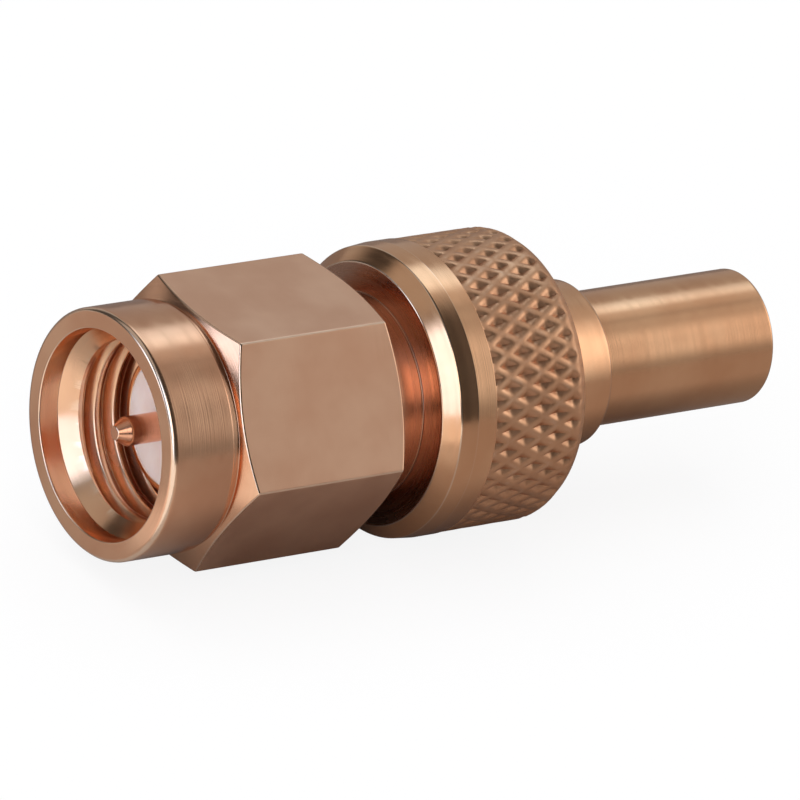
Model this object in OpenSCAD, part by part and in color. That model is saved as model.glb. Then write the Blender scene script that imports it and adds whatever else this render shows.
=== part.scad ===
// Coaxial adapter: a screw-on plug with a hexagonal coupling nut in front, a knurled grip collar,
// and a slim push-fit jack tube behind. The axis lies along X. The plug's mouth is at x = 0,
// the jack's mouth is at the far +X end, and +Z is up. All sizes are in millimetres.

/* [Coupling nut] */
// Width across the flats of the hexagon
hex_af = 8; // [7.8:0.1:9]
// Length of the hexagon along the axis
hex_len = 6.17; // [5.4:0.01:7.2]
// Corner chamfer of the hexagon, measured inwards from a corner
hex_chamfer = 0.83; // [0.7:0.01:1]
// Angle of the corner chamfer from the hexagon's end faces
hex_chamfer_angle = 24; // [15:1:45]
// How far the hexagon is turned about the axis from a corner-up position
nut_angle = -30; // [-60:1:60]
// Length of the round nose in front of the hexagon
nose_len = 2.5; // [2:0.05:3]
// How far the nose lies below the flats
nose_inset = 0.06; // [0:0.01:0.2]
// Edge radius round the front rim of the nose
nose_edge = 0.15; // [0.05:0.01:0.25]
// Width of the relief groove at the foot of the nose
relief_w = 0.25; // [0.1:0.01:0.4]
// Depth of the relief groove at the foot of the nose
relief_d = 0.11; // [0.05:0.01:0.2]
// Minor diameter of the coupling thread, which is drawn as a plain bore
thread_minor_d = 5.68; // [5.5:0.01:5.8]
// Diameter of the plain counterbore in the mouth
mouth_d = 6.6; // [6.4:0.05:7]
// Depth of the counterbore, from the rim to the lead-in cone
mouth_len = 0.7; // [0.4:0.05:0.9]
// Slope of the lead-in cone from the axis
mouth_angle = 45; // [30:1:60]
// Length of the cone where the thread runs out
runout_len = 0.3; // [0.2:0.05:0.5]
// Edge break at the back of the nut's bore
nut_back_edge = 0.2; // [0.1:0.05:0.3]

/* [Plug body] */
// Depth of the plug's reference plane behind the front rim
plane_depth = 2.55; // [2.2:0.05:2.8]
// Outside diameter of the thin ferrule
ferrule_d = 4.56; // [4.5:0.01:4.7]
// Wall thickness of the thin ferrule
ferrule_wall = 0.215; // [0.15:0.005:0.25]
// Length of the ferrule, from the reference plane to the barrel
ferrule_len = 2.05; // [1.9:0.05:2.4]
// Edge break on the ferrule's front
ferrule_edge = 0.08; // [0.04:0.01:0.12]
// Diameter of the barrel that the nut turns on
barrel_d = 6.4; // [6.2:0.05:6.6]
// Edge break on the barrel's front
barrel_edge = 0.1; // [0.05:0.01:0.2]
// Radial clearance between turning pieces
turn_clear = 0.08; // [0.05:0.01:0.12]

/* [Retaining ring and gasket] */
// Width of the split ring along the axis
ring_w = 0.6; // [0.5:0.05:0.7]
// Distance of the ring's middle from the back of the nut
ring_from_back = 1.17; // [1:0.01:1.6]
// How far the ring stands out of the barrel
ring_out = 0.3; // [0.2:0.02:0.34]
// How far the ring sinks into the barrel
ring_in = 0.45; // [0.35:0.05:0.5]
// Width of the split in the ring
ring_split = 0.9; // [0.5:0.1:1.5]
// End play of the ring in the nut's groove
ring_play = 0.3; // [0.2:0.05:0.4]
// Clearance of the ring in the barrel's groove
ring_clear = 0.02; // [0.01:0.01:0.04]
// Thickness of the gasket along the axis
gasket_w = 0.7; // [0.5:0.05:0.8]
// Radial width of the gasket, from the ferrule outwards
gasket_rim = 0.77; // [0.6:0.01:0.85]
// Radial clearance round the gasket, in the room that the nut leaves it
gasket_clear = 0.33; // [0.25:0.01:0.4]
// Clear space between the gasket and the end of the thread
gasket_gap = 0.2; // [0.15:0.05:0.4]

/* [Collar] */
// Clear space between the back of the nut and the collar
nut_gap = 0.98; // [0.6:0.02:1.3]
// Diameter of the collar's smooth band
collar_d = 9.32; // [9:0.02:9.8]
// Length of the smooth part, from the front face to the knurl
smooth_len = 2.03; // [1.7:0.01:2.4]
// Chamfer on the collar's front edge, at 45 degrees
collar_chamfer = 0.68; // [0.3:0.01:0.8]
// Length of the slight taper behind the chamfer
taper_len = 0.6; // [0.3:0.05:0.8]
// Drop of the slight taper
taper_drop = 0.06; // [0.02:0.01:0.1]

/* [Diamond knurl] */
// Number of diamonds round the collar
knurl_count = 42; // [36:2:48]
// Number of half rows of diamonds along the collar
knurl_rows = 6; // [4:1:8]
// Length of a half row along the axis
knurl_step = 0.6; // [0.5:0.01:0.7]
// How far the crests of the knurl lie below the smooth band
knurl_inset = 0.02; // [0.01:0.01:0.05]
// Depth of the diamond-shaped pits
knurl_depth = 0.2; // [0.1:0.01:0.25]
// Share of each diamond that is left as a flat ridge
knurl_land = 0.3; // [0.15:0.05:0.5]
// Turn of the knurl about the axis, in degrees
knurl_turn = -0.86; // [-4:0.01:4]

/* [Jack sleeve] */
// Diameter of the shoulder behind the collar
shoulder_d = 5.55; // [5.3:0.05:6.4]
// Length of the shoulder
shoulder_len = 2.42; // [1.5:0.02:3]
// Edge break on the back of the shoulder
shoulder_edge = 0.1; // [0.05:0.01:0.3]
// Outside diameter of the slim tube
tube_d = 4.31; // [4.25:0.01:4.6]
// Length of the slim tube behind the shoulder
tube_len = 6.79; // [5.5:0.01:9]
// Edge radius on the tube's end
tube_edge = 0.2; // [0.1:0.01:0.2]
// Diameter of the spigot that is pressed into the collar
spigot_d = 5; // [4.8:0.05:5.2]
// Length of the spigot
spigot_len = 2.88; // [2:0.02:3.4]

/* [Jack bore] */
// Bore of the jack
jack_bore_d = 3.5; // [3.2:0.01:3.6]
// Depth of the jack, from its mouth to the insulator
jack_depth = 4.29; // [3.8:0.05:4.8]
// Lead-in chamfer at the jack's mouth
jack_lead = 0.2; // [0.1:0.01:0.2]
// Length of plain bore between the lead-in and the catch groove
catch_from_lead = 0.89; // [0.6:0.01:1]
// Width of the catch groove
catch_w = 0.7; // [0.6:0.05:0.9]
// Depth of the catch groove
catch_d = 0.18; // [0.14:0.01:0.22]

/* [Insulators] */
// How much larger the plug insulator is behind its step
plug_step = 0.135; // [0.1:0.005:0.18]
// Distance of the plug insulator's step behind the barrel's front
plug_step_at = 1.4; // [1:0.1:2]
// How much larger the jack insulator is than the jack's bore
jack_step = 0.2; // [0.14:0.01:0.24]

/* [Centre contact] */
// Diameter of the plug's pin
pin_d = 0.92; // [0.9:0.01:0.94]
// How far the pin stands out of the reference plane
pin_out = 2; // [1.8:0.05:2.1]
// Length of the pin's tapered tip
pin_tip_len = 0.4; // [0.2:0.05:0.5]
// Diameter at the very end of the pin
pin_tip_d = 0.42; // [0.2:0.02:0.6]
// Contact diameter inside the plug insulator
stem_d = 1.28; // [1.24:0.02:1.4]
// How far the stem's shoulder lies below the reference plane
stem_recess = 0.05; // [0.02:0.01:0.1]
// Diameter of the flange held between the two insulators
flange_d = 2.2; // [1.8:0.1:2.6]
// Thickness of the flange
flange_w = 0.6; // [0.4:0.05:0.8]
// Outside diameter of the socket end
socket_d = 1.24; // [1.2:0.02:1.4]
// Edge break on the socket's end
socket_edge = 0.12; // [0.06:0.01:0.16]
// Bore of the socket end
socket_bore_d = 0.56; // [0.5:0.02:0.6]
// Depth of the socket's bore
socket_bore_len = 2.4; // [2:0.1:2.8]
// Lead-in chamfer of the socket's bore
socket_lead = 0.1; // [0.05:0.01:0.15]
// Width of the two slots that make the socket springy
slot_w = 0.14; // [0.1:0.01:0.16]
// Length of the two slots
slot_len = 2.1; // [1.6:0.1:2.3]
// Distance of the socket's end inside the jack's mouth
socket_recess = 1.29; // [1.15:0.01:1.6]

/* [Hidden] */
// Circles with this many steps are true circles.
round_fn = 96;
// How far a cutting shape runs past the face that it opens.
past = 1;
// How far the smooth band reaches over the knurl, so that the two are one solid.
knurl_lap = 0.02;
// How far the collar's core lies inside the knurl.
core_inset = 0.3;

hex_r = hex_af / 2 / cos(30);
nose_r = hex_af / 2 - nose_inset;
foot_r = nose_r - relief_d;
thread_r = thread_minor_d / 2;
mouth_r = mouth_d / 2;
ferrule_r = ferrule_d / 2;
ferrule_bore_r = ferrule_r - ferrule_wall;
gasket_r = ferrule_r + gasket_rim;
gasket_room_r = gasket_r + gasket_clear;
plug_seat_r = ferrule_bore_r + plug_step;
barrel_r = barrel_d / 2;
nut_bore_r = barrel_r + turn_clear;
ring_outer_r = barrel_r + ring_out;
ring_inner_r = barrel_r - ring_in;
collar_r = collar_d / 2;
crest_r = collar_r - knurl_inset;
pit_r = crest_r - knurl_depth;
core_r = pit_r - core_inset;
spigot_r = spigot_d / 2;
shoulder_r = shoulder_d / 2;
tube_r = tube_d / 2;
jack_r = jack_bore_d / 2;
jack_seat_r = jack_r + jack_step;
pin_r = pin_d / 2;
stem_r = stem_d / 2;
flange_r = flange_d / 2;
socket_r = socket_d / 2;
socket_bore_r = socket_bore_d / 2;

chamfer_slope = tan(hex_chamfer_angle);
x_foot = nose_len + (hex_chamfer - hex_r + foot_r) * chamfer_slope;
x_thread = mouth_len + (mouth_r - thread_r) / tan(mouth_angle);
x_nut_end = nose_len + hex_len;
x_plane = plane_depth;
x_barrel = x_plane + ferrule_len;
x_gasket = x_barrel - gasket_w;
x_thread_end = x_gasket - gasket_gap;
x_ring = x_nut_end - ring_from_back;
x_collar = x_nut_end + nut_gap;
x_knurl = x_collar + smooth_len;
x_collar_end = x_knurl + knurl_rows * knurl_step;
x_plug_step = x_barrel + plug_step_at;
x_spigot = x_collar_end - spigot_len;
x_flange = x_spigot - flange_w;
x_tube = x_collar_end + shoulder_len;
x_end = x_tube + tube_len;
x_lead = x_end - jack_lead;
x_catch = x_lead - catch_from_lead;
x_jack_face = x_end - jack_depth;
x_pin_end = x_plane - pin_out;
x_socket_end = x_end - socket_recess;

// A rounded edge on the front of a turned piece, from its face to its side.
function front_edge(x, r, edge) =
    [for (t = [0 : 30 : 90]) [x + edge * (1 - cos(t)), r - edge * (1 - sin(t))]];

// A rounded edge on the back of a turned piece, from its side to its face.
function back_edge(x, r, edge) =
    [for (t = [0 : 30 : 90]) [x - edge * (1 - sin(t)), r - edge * (1 - cos(t))]];

// A piece turned about the X axis. Each point is [distance along the axis, radius].
module turned(profile) {
    rotate([0, 90, 0])
        rotate_extrude($fn = round_fn)
            polygon([for (p = profile) [p[1], p[0]]]);
}

// A round hole or rod along the axis, from one place to another.
module round_bar(from, to, r) {
    translate([from, 0, 0])
        rotate([0, 90, 0])
            cylinder(r = r, h = to - from, $fn = round_fn);
}

// Cones at both ends cut the hexagon's corners. The front one starts in the relief groove.
module nut_outside() {
    chamfer_run = (hex_chamfer + past) * chamfer_slope;
    intersection() {
        translate([x_foot - relief_w, 0, 0])
            rotate([nut_angle, 0, 0])
                rotate([0, 90, 0])
                    cylinder(r = hex_r, h = x_nut_end - x_foot + relief_w, $fn = 6);
        turned([
            [x_foot - relief_w, 0],
            [x_foot - relief_w, foot_r],
            [x_foot, foot_r],
            [nose_len + chamfer_run, hex_r + past],
            [x_nut_end - chamfer_run, hex_r + past],
            [x_nut_end, hex_r - hex_chamfer],
            [x_nut_end, 0]
        ]);
    }
    turned(concat(
        [[0, 0]],
        front_edge(0, nose_r, nose_edge),
        [[x_foot - relief_w, nose_r], [x_foot - relief_w, 0]]
    ));
}

// A counterbore and a cone lead to the thread's bore, and the wider room behind it clears the gasket.
// The bore then turns on the barrel, and the groove in it holds the retaining ring.
module coupling_nut() {
    groove_w = ring_w + ring_play;
    groove_r = ring_outer_r + turn_clear;
    color([0.78, 0.55, 0.40])
        difference() {
            nut_outside();
            turned([
                [-past, 0],
                [-past, mouth_r],
                [mouth_len, mouth_r],
                [x_thread, thread_r],
                [x_thread_end, thread_r],
                [x_thread_end + runout_len, gasket_room_r],
                [x_barrel, gasket_room_r],
                [x_barrel, nut_bore_r],
                [x_ring - groove_w / 2, nut_bore_r],
                [x_ring - groove_w / 2, groove_r],
                [x_ring + groove_w / 2, groove_r],
                [x_ring + groove_w / 2, nut_bore_r],
                [x_nut_end - nut_back_edge, nut_bore_r],
                [x_nut_end + past, nut_bore_r + nut_back_edge + past],
                [x_nut_end + past, 0]
            ]);
        }
}

module retaining_ring() {
    color([0.72, 0.62, 0.38])
        difference() {
            round_bar(x_ring - ring_w / 2, x_ring + ring_w / 2, ring_outer_r);
            round_bar(x_ring - ring_w, x_ring + ring_w, ring_inner_r);
            translate([x_ring - ring_w, -ring_split / 2, 0])
                cube([2 * ring_w, ring_split, ring_outer_r + past]);
        }
}

module gasket() {
    color([0.70, 0.25, 0.18])
        difference() {
            round_bar(x_gasket, x_barrel, gasket_r);
            round_bar(x_gasket - past, x_barrel + past, ferrule_r);
        }
}

// The knurl is a drum whose skin is a net of crossing ridges with a pit in each diamond.
// Points on whole steps are ridge crossings or pit bottoms, in turn, like a chessboard.
// Each pit also has four rim points: up, down, right and left of its bottom.
module knurl_drum() {
    n = knurl_count;
    cols = 2 * n;
    rows = knurl_rows;
    turn = 360 / cols;
    reach = 1 - knurl_land;
    at_up = (rows + 1) * cols;
    at_down = at_up + (rows + 1) * n;
    at_right = at_down + (rows + 1) * n;
    at_left = at_right + rows * n;
    at_caps = at_left + rows * n;
    function spot(k, m, r) =
        [x_knurl + k * knurl_step, r * cos(m * turn + knurl_turn), r * sin(m * turn + knurl_turn)];
    function grid(k, m) = k * cols + (m + cols) % cols;
    function column(k, j) = 2 * j + (k + 1) % 2;
    points = concat(
        [for (k = [0 : rows]) for (m = [0 : cols - 1]) spot(k, m, (k + m) % 2 == 1 ? pit_r : crest_r)],
        [for (k = [0 : rows]) for (j = [0 : n - 1]) spot(k, column(k, j) + reach, crest_r)],
        [for (k = [0 : rows]) for (j = [0 : n - 1]) spot(k, column(k, j) - reach, crest_r)],
        [for (k = [0 : rows - 1]) for (j = [0 : n - 1]) spot(k + reach, column(k, j), crest_r)],
        [for (k = [1 : rows]) for (j = [0 : n - 1]) spot(k - reach, column(k, j), crest_r)],
        [spot(0, 0, 0), spot(rows, 0, 0)]
    );
    right_half = [
        for (k = [0 : rows - 1]) for (j = [0 : n - 1])
            let (
                m = column(k, j),
                up = at_up + k * n + j,
                down = at_down + k * n + j,
                right = at_right + k * n + j
            )
            each [
                [grid(k, m), right, up],
                [grid(k, m), down, right],
                [up, right, grid(k + 1, m)],
                [up, grid(k + 1, m), grid(k, m + 1)],
                [down, grid(k, m - 1), grid(k + 1, m)],
                [down, grid(k + 1, m), right]
            ]
    ];
    left_half = [
        for (k = [1 : rows]) for (j = [0 : n - 1])
            let (
                m = column(k, j),
                up = at_up + k * n + j,
                down = at_down + k * n + j,
                left = at_left + (k - 1) * n + j
            )
            each [
                [grid(k, m), up, left],
                [grid(k, m), left, down],
                [up, grid(k, m + 1), grid(k - 1, m)],
                [up, grid(k - 1, m), left],
                [down, left, grid(k - 1, m)],
                [down, grid(k - 1, m), grid(k, m - 1)]
            ]
    ];
    caps = [
        for (k = [0, rows]) for (j = [0 : n - 1])
            let (
                m = column(k, j),
                rim = [grid(k, m - 1), at_down + k * n + j, grid(k, m), at_up + k * n + j, grid(k, m + 1)]
            )
            for (i = [0 : 3])
                k == 0 ? [at_caps, rim[i], rim[i + 1]] : [at_caps + 1, rim[i + 1], rim[i]]
    ];
    polyhedron(points = points, faces = concat(right_half, left_half, caps), convexity = 6);
}

// Ferrule, barrel and collar in one piece, with the knurl round the back of the collar.
module plug_body() {
    groove_w = ring_w + 2 * ring_clear;
    groove_r = ring_inner_r - ring_clear;
    color([0.80, 0.57, 0.42])
        difference() {
            union() {
                turned([
                    [x_plane, 0],
                    [x_plane, ferrule_r - ferrule_edge],
                    [x_plane + ferrule_edge, ferrule_r],
                    [x_barrel, ferrule_r],
                    [x_barrel, barrel_r - barrel_edge],
                    [x_barrel + barrel_edge, barrel_r],
                    [x_ring - groove_w / 2, barrel_r],
                    [x_ring - groove_w / 2, groove_r],
                    [x_ring + groove_w / 2, groove_r],
                    [x_ring + groove_w / 2, barrel_r],
                    [x_collar, barrel_r],
                    [x_collar, collar_r - taper_drop - collar_chamfer],
                    [x_collar + collar_chamfer, collar_r - taper_drop],
                    [x_collar + collar_chamfer + taper_len, collar_r],
                    [x_knurl + knurl_lap, collar_r],
                    [x_knurl + knurl_lap, core_r],
                    [x_collar_end - core_inset, core_r],
                    [x_collar_end - core_inset, 0]
                ]);
                knurl_drum();
            }
            turned([
                [x_plane - past, 0],
                [x_plane - past, ferrule_bore_r],
                [x_plug_step, ferrule_bore_r],
                [x_plug_step, plug_seat_r],
                [x_spigot, plug_seat_r],
                [x_spigot, spigot_r],
                [x_collar_end + past, spigot_r],
                [x_collar_end + past, 0]
            ]);
        }
}

// Spigot, shoulder and tube in one piece. The catch groove in the bore holds the mating plug.
module jack_sleeve() {
    color([0.82, 0.58, 0.42])
        difference() {
            turned(concat(
                [
                    [x_spigot, 0],
                    [x_spigot, spigot_r],
                    [x_collar_end, spigot_r],
                    [x_collar_end, shoulder_r],
                    [x_tube - shoulder_edge, shoulder_r],
                    [x_tube, shoulder_r - shoulder_edge],
                    [x_tube, tube_r]
                ],
                back_edge(x_end, tube_r, tube_edge),
                [[x_end, 0]]
            ));
            turned([
                [x_spigot - past, 0],
                [x_spigot - past, jack_seat_r],
                [x_jack_face, jack_seat_r],
                [x_jack_face, jack_r],
                [x_catch - catch_w, jack_r],
                [x_catch - catch_w, jack_r + catch_d],
                [x_catch, jack_r + catch_d],
                [x_catch, jack_r],
                [x_lead, jack_r],
                [x_end + past, jack_r + jack_lead + past],
                [x_end + past, 0]
            ]);
        }
}

// A step in the plug insulator keeps it from sliding out of the mouth.
module plug_insulator() {
    color([0.93, 0.85, 0.84])
        difference() {
            turned([
                [x_plane, 0],
                [x_plane, ferrule_bore_r],
                [x_plug_step, ferrule_bore_r],
                [x_plug_step, plug_seat_r],
                [x_spigot, plug_seat_r],
                [x_spigot, 0]
            ]);
            round_bar(x_plane - past, x_spigot + past, stem_r);
            round_bar(x_flange, x_spigot + past, flange_r);
        }
}

module jack_insulator() {
    color([0.93, 0.87, 0.86])
        difference() {
            round_bar(x_spigot, x_jack_face, jack_seat_r);
            round_bar(x_spigot - past, x_jack_face + past, socket_r);
        }
}

// Pin, stem, flange and slotted socket in one piece.
module centre_contact() {
    color([0.80, 0.50, 0.36])
        difference() {
            turned([
                [x_pin_end, 0],
                [x_pin_end, pin_tip_d / 2],
                [x_pin_end + pin_tip_len, pin_r],
                [x_plane + stem_recess, pin_r],
                [x_plane + stem_recess, stem_r],
                [x_flange, stem_r],
                [x_flange, flange_r],
                [x_spigot, flange_r],
                [x_spigot, socket_r],
                [x_socket_end - socket_edge, socket_r],
                [x_socket_end, socket_r - socket_edge],
                [x_socket_end, 0]
            ]);
            turned([
                [x_socket_end - socket_bore_len, 0],
                [x_socket_end - socket_bore_len, socket_bore_r],
                [x_socket_end - socket_lead, socket_bore_r],
                [x_socket_end + past, socket_bore_r + socket_lead + past],
                [x_socket_end + past, 0]
            ]);
            translate([x_socket_end - slot_len, -slot_w / 2, -socket_r - past])
                cube([slot_len + past, slot_w, 2 * (socket_r + past)]);
        }
}

coupling_nut();
retaining_ring();
gasket();
plug_body();
jack_sleeve();
plug_insulator();
jack_insulator();
centre_contact();
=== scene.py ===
# %% [markdown]
# # A gold-plated coaxial adapter
# The adapter joins two kinds of coaxial plug. In front a hexagonal nut screws onto a threaded jack,
# in the middle a knurled collar gives the fingers a grip, and behind it a slim tube takes a small
# plug that is pushed in. The solid model already has every size, so this lesson only dresses it:
# each turned piece is cut again with finer edges, a real thread and a finer knurl, in the same place.

# %% Load the solid model
import math

import bmesh
import bpy
from mathutils import Matrix, Vector


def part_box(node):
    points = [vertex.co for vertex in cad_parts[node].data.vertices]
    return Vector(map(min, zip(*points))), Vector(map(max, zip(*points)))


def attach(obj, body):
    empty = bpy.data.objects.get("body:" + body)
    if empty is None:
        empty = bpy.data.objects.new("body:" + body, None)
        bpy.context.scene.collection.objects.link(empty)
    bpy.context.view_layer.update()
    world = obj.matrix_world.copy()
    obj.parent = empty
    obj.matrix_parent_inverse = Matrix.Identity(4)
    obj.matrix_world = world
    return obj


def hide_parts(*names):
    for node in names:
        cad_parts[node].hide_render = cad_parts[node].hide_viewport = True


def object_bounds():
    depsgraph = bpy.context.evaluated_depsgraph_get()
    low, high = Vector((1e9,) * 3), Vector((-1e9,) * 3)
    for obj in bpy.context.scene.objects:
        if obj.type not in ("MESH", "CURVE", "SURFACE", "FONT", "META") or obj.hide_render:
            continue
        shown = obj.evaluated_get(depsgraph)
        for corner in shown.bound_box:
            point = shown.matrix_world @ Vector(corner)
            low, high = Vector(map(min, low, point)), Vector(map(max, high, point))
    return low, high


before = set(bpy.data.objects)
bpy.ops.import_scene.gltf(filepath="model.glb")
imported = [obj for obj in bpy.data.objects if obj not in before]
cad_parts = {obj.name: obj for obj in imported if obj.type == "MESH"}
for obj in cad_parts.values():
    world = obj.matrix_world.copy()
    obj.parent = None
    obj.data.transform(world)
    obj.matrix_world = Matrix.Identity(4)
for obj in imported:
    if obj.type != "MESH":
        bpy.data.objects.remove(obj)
cad_box = [list(corner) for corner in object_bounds()]
MM = 0.001
print("nodes:", ", ".join(sorted(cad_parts)))
print("solid model's box in mm:", [[round(v / MM, 2) for v in corner] for corner in cad_box])

# %% [markdown]
# ## The camera
# The picture was taken from the plug's side, a little above, through a long lens, so the adapter
# hardly narrows towards the back. A camera is a frame of three directions and a place. The solid
# lies as it comes to rest, on a flat of the nut, while the photographer had it rolled a little, so
# the camera is rolled by the same amount.


# %% Camera
def new_object(name, data):
    thing = bpy.data.objects.new(name, data)
    bpy.context.scene.collection.objects.link(thing)
    return thing


CAMERA_RIGHT = Vector((0.80763, -0.56083, 0.18222))
CAMERA_UP = Vector((0.12857, 0.46903, 0.87373))
CAMERA_BACK = Vector((-0.57550, -0.68226, 0.45090))
CAMERA_PLACE = Vector((-0.17137, -0.21674, 0.14280))

camera = new_object("camera", bpy.data.cameras.new("camera"))
camera_turn = Matrix((CAMERA_RIGHT, CAMERA_UP, CAMERA_BACK)).transposed().to_4x4()
camera.matrix_world = Matrix.Translation(CAMERA_PLACE) @ camera_turn
camera.data.sensor_width = 36
camera.data.lens = 458.4
camera.data.clip_start = 0.01
camera.data.clip_end = 10
bpy.context.scene.camera = camera
print("camera is", round(CAMERA_PLACE.length / MM), "mm from the nut's rim")

# %% [markdown]
# ## How a turned piece is described
# A lathe makes almost everything here, so a piece is its outline in one half plane, as points of
# distance along the axis and radius. No real edge is sharp: each corner of the outline has a small
# radius, and `eased` puts an arc there. A bevel modifier could round the edges too, but it stumbles
# over edges closer together than its width, and the outline doesn't. Just outside each arc a holding
# point keeps the smooth shading of the arc from spreading over the straight stretch beside it. Each
# point also keeps how much the outline bends there: edges wear pale, which partly paints a highlight
# on them, and hollows get painted shade.

# %% Outline with eased corners
ARC_STEPS = 4
ARC_POINTS = ARC_STEPS + 3
NEARLY_HALF = 0.495
ARC_ROOM = 0.9
HOLD_SHARE, HOLD_LEAST = 1.3, 0.004


def eased(corners):
    """Corners are (along, radius, edge) in mm on a closed outline. An edge of 0 stays sharp.

    The points are (along, radius, bend): bend is 1 on an outer edge, -1 in an inner corner, else 0.
    """
    outline = []
    for i, (along, radius, edge) in enumerate(corners):
        here = Vector((along, radius))
        if edge == 0:
            outline.append((here.x, here.y, 0.0))
            continue
        before = Vector(corners[i - 1][:2]) - here
        after = Vector(corners[(i + 1) % len(corners)][:2]) - here
        room_before, room_after = NEARLY_HALF * before.length, NEARLY_HALF * after.length
        before.normalize()
        after.normalize()
        half = before.angle(after) / 2
        side = 1 if before.cross(after) > 0 else -1
        cut = min(edge / math.tan(half), ARC_ROOM * min(room_before, room_after))
        centre = here + (before + after).normalized() * (cut / math.cos(half))
        start = here + before * cut - centre
        end = here + after * cut - centre
        hold = HOLD_SHARE * cut + HOLD_LEAST
        point = here + before * min(hold, room_before)
        outline.append((point.x, point.y, 0.0))
        for s in range(ARC_STEPS + 1):
            share = s / ARC_STEPS
            point = centre + start.slerp(end, share).normalized() * start.length
            outline.append((point.x, point.y, side * math.sin(math.pi * share)))
        point = here + after * min(hold, room_after)
        outline.append((point.x, point.y, 0.0))
    return outline


def row_of(corners, index):
    """Number of the first point that a corner has on the eased outline."""
    return sum(ARC_POINTS if edge else 1 for along, radius, edge in corners[:index])


square = [(0, 1, 0.1), (1, 1, 0.1), (1, 2, 0.1), (0, 2, 0.1)]
print("an eased square has", len(eased(square)), "points")

# %% [markdown]
# ## Skinning outlines
# The outline is repeated at many angles round the axis and neighbours are joined with four-sided
# faces. A plain lathe repeats one outline. The nut and the knurl need more: their outline changes
# with the angle, so the skin takes one outline per angle. Points on the axis fall together and are
# merged, which closes the ends.


# %% Columns of points and the skin between them
def place_columns(mesh, outlines, angles):
    """Places the points of each outline at its angle and keeps their bend."""
    floats = mesh.verts.layers.float
    bend_layer = floats.get("bend") or floats.new("bend")
    columns = []
    for outline, angle in zip(outlines, angles):
        y, z = math.cos(angle), math.sin(angle)
        column = []
        for along, radius, bend in outline:
            point = mesh.verts.new((along * MM, radius * y * MM, radius * z * MM))
            point[bend_layer] = bend
            column.append(point)
        columns.append(column)
    return columns


def join(mesh, column, beside, rows):
    """Joins two columns with a face in each of these rows. Gives back row and face."""
    faces = []
    for i in rows:
        n = (i + 1) % len(column)
        faces.append((i, mesh.faces.new((column[i], column[n], beside[n], beside[i]))))
    return faces


def skin(mesh, outlines, angles, finish=None, skip=()):
    """Joins one closed outline per angle. finish(row) gives a face's material number."""
    columns = place_columns(mesh, outlines, angles)
    rows = [i for i in range(len(columns[0])) if i not in skip]
    for column, beside in zip(columns, columns[1:] + columns[:1]):
        for row, face in join(mesh, column, beside, rows):
            if finish:
                face.material_index = finish(row)
    return columns


def even_angles(count, start=0.0):
    return [start + 2 * math.pi * j / count for j in range(count)]


print("four even angles in degrees:", [round(math.degrees(a)) for a in even_angles(4)])

# %% [markdown]
# ## From mesh to piece
# A finished piece rides on a body of the solid model and hides the solid that it stands for. Smooth
# shading stops only at edges that are really sharp.

# %% Finished piece
MERGE, SLIVER = 2e-7, 1e-8
SHARP = math.radians(38)


def make_piece(mesh, name, body, node, materials):
    """Turns a bmesh into a piece that rides on a body and stands for a solid."""
    bmesh.ops.remove_doubles(mesh, verts=mesh.verts, dist=MERGE)
    bmesh.ops.dissolve_degenerate(mesh, edges=mesh.edges, dist=SLIVER)
    bmesh.ops.recalc_face_normals(mesh, faces=mesh.faces)
    data = bpy.data.meshes.new(name)
    mesh.to_mesh(data)
    mesh.free()
    data.shade_smooth()
    data.set_sharp_from_angle(angle=SHARP)
    piece = new_object(name, data)
    for material in materials:
        data.materials.append(material)
    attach(piece, body)
    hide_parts(node)
    print(name, "has", sum(len(p.vertices) - 2 for p in data.polygons), "triangles")
    return piece


def turned_piece(name, node, material, outline, columns):
    """A plain lathe piece on the body, with the same outline at each angle."""
    mesh = bmesh.new()
    skin(mesh, [eased(outline)] * columns, even_angles(columns))
    return make_piece(mesh, name, "body", node, [material])


print("edges above", round(math.degrees(SHARP)), "degrees stay sharp")

# %% [markdown]
# ## Effects that several finishes share
# Plated metal is never one colour. Four effects repeat on every metal piece, so each is a shader
# node group: slow drifts of the plating's tone, the fine grooves that a lathe leaves, pale worn
# edges that partly paint a highlight with painted shade in the hollows, and hair scratches. A group
# gives colours, masks and heights only; each material decides what they do.


# %% Helpers for node trees
def new_group(name, inputs, outputs):
    """Makes a shader group. Inputs are (name, kind, default), outputs are (name, kind)."""
    group = bpy.data.node_groups.new(name, "ShaderNodeTree")
    for title, kind, default in inputs:
        socket = group.interface.new_socket(title, in_out="INPUT", socket_type="NodeSocket" + kind)
        socket.default_value = default
    for title, kind in outputs:
        group.interface.new_socket(title, in_out="OUTPUT", socket_type="NodeSocket" + kind)
    return group, group.nodes.new("NodeGroupInput"), group.nodes.new("NodeGroupOutput")


def add(tree, kind, **settings):
    """Adds a node. A setting is a property of the node or else the name of an input."""
    node = tree.nodes.new("ShaderNode" + kind)
    for name, value in settings.items():
        if hasattr(node, name) and name not in node.inputs:
            setattr(node, name, value)
        else:
            node.inputs[name].default_value = value
    return node


def feed(tree, socket, value):
    """Links another node's output to a socket, or sets a number or colour there."""
    if hasattr(value, "links"):
        tree.links.new(value, socket)
    else:
        socket.default_value = value


def maths(tree, operation, first, second=None, clamp=False):
    """Adds a Math node on two sockets or numbers and gives back its output."""
    node = add(tree, "Math", operation=operation, use_clamp=clamp)
    feed(tree, node.inputs[0], first)
    if second is not None:
        feed(tree, node.inputs[1], second)
    return node.outputs[0]


print("helpers make a group or a node, feed a socket and do sums")


# %% Helpers that ease, mix and measure
def ramp(tree, value, low, high, to_low=0.0, to_high=1.0):
    """Adds a Map Range node that eases a value from one range to another."""
    node = add(tree, "MapRange", interpolation_type="SMOOTHSTEP")
    tree.links.new(value, node.inputs["Value"])
    for name, number in (("From Min", low), ("From Max", high), ("To Min", to_low), ("To Max", to_high)):
        feed(tree, node.inputs[name], number)
    return node.outputs["Result"]


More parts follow.
